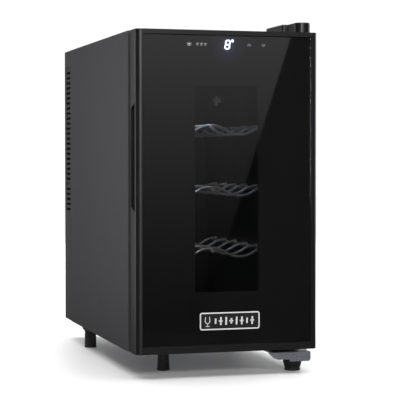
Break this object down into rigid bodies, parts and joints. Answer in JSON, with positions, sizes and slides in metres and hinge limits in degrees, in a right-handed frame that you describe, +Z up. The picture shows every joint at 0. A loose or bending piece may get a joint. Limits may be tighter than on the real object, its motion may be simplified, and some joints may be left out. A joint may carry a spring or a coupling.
{
  "type": "wine cooler",
  "caption": "Small black countertop wine cooler with a glazed hinged door, wavy wire racks, finned cooling unit and vented rear cover.",
  "frame": {"origin": "on the floor under the middle of the cooler's width and depth", "axes": "+Z up, +X to the right seen from the front, +Y to the back; the door faces -Y"},
  "size_m": [0.252, 0.48, 0.473],
  "materials": {
    "black_steel": "satin",
    "zinc_steel": "satin",
    "black_moulding": "satin",
    "gloss_moulding": "gloss",
    "foam": "matte",
    "glass": "gloss",
    "black_print": "gloss",
    "liner_plastic": "satin",
    "seal_rubber": "matte",
    "magnet": "matte",
    "rack_wire": "satin",
    "aluminium": "satin",
    "ceramic_white": "matte",
    "circuit_board": "satin",
    "parts_mixed": "satin",
    "display": "gloss",
    "lamp_lens": "satin",
    "foot_plastic": "matte",
    "badge_metal": "satin",
    "brass_pin": "satin",
    "bush_plastic": "satin"
  },
  "bodies": {
    "cabinet": {"outer_shell": "black_steel", "base_pan": "zinc_steel", "back_panel": "zinc_steel", "front_frame": "black_moulding", "strike_strip": "zinc_steel", "liner": "liner_plastic", "temperature_sensor": "bush_plastic", "foam_insulation": "foam", "rear_feet": "foot_plastic", "rear_foot_screws": "zinc_steel", "foot_nuts": "zinc_steel", "lower_hinge_bracket": "zinc_steel", "hinge_pins": "zinc_steel", "upper_hinge_bracket": "zinc_steel", "hinge_screws": "zinc_steel", "upper_hinge_cover": "gloss_moulding", "rack_ledges": "liner_plastic", "duct_cover": "liner_plastic", "cold_sink": "aluminium", "hot_sink": "aluminium", "cold_block": "aluminium", "peltier_module": "ceramic_white", "peltier_seal": "foam", "clamp_screws": "zinc_steel", "cold_fan_frame": "black_moulding", "hot_fan_frame": "black_moulding", "fan_screws": "zinc_steel", "rear_cover": "black_moulding", "rear_cover_screws": "zinc_steel", "power_board": "circuit_board", "power_parts": "parts_mixed", "mains_inlet": "black_moulding", "inlet_pins": "brass_pin", "lamp_board": "circuit_board", "lamp_lens": "lamp_lens"},
    "door": {"door_frame": "gloss_moulding", "door_glass": "glass", "glass_print": "black_print", "glass_spacer": "black_moulding", "inner_glass": "glass", "door_foam": "foam", "door_inner_panel": "black_moulding", "door_screws": "zinc_steel", "door_gasket": "seal_rubber", "gasket_magnet": "magnet", "control_board": "circuit_board", "display_module": "display", "touch_pads": "display", "badge": "badge_metal", "hinge_bushes": "bush_plastic"},
    "rack_bottom": {"rack_bottom_rails": "rack_wire", "rack_bottom_wires": "rack_wire"},
    "rack_middle": {"rack_middle_rails": "rack_wire", "rack_middle_wires": "rack_wire"},
    "rack_top": {"rack_top_rails": "rack_wire", "rack_top_wires": "rack_wire"},
    "cold_fan": {"cold_fan_rotor": "black_moulding"},
    "hot_fan": {"hot_fan_rotor": "black_moulding"},
    "left_levelling_foot": {"front_left_foot": "foot_plastic"},
    "right_levelling_foot": {"front_right_foot": "foot_plastic"}
  },
  "joints": [
    {"name": "door_hinge", "type": "hinge", "parent": "cabinet", "child": "door", "pos_m": [0.109, -0.223, 0], "axis": [0, 0, 1], "range_deg": [0, 110]},
    {"name": "rack_bottom_slide", "type": "slide", "parent": "cabinet", "child": "rack_bottom", "axis": [0, -1, 0], "range_m": [0, 0.03]},
    {"name": "rack_middle_slide", "type": "slide", "parent": "cabinet", "child": "rack_middle", "axis": [0, -1, 0], "range_m": [0, 0.03]},
    {"name": "rack_top_slide", "type": "slide", "parent": "cabinet", "child": "rack_top", "axis": [0, -1, 0], "range_m": [0, 0.03]},
    {"name": "cold_fan_spin", "type": "hinge", "parent": "cabinet", "child": "cold_fan", "pos_m": [0, 0.12, 0.32], "axis": [0, 1, 0], "continuous": true},
    {"name": "hot_fan_spin", "type": "hinge", "parent": "cabinet", "child": "hot_fan", "pos_m": [0, 0.228, 0.32], "axis": [0, 1, 0], "continuous": true},
    {"name": "left_foot_screw", "type": "slide", "parent": "cabinet", "child": "left_levelling_foot", "axis": [0, 0, 1], "range_m": [-0.008, 0]},
    {"name": "right_foot_screw", "type": "slide", "parent": "cabinet", "child": "right_levelling_foot", "axis": [0, 0, 1], "range_m": [-0.004, 0]}
  ]
}
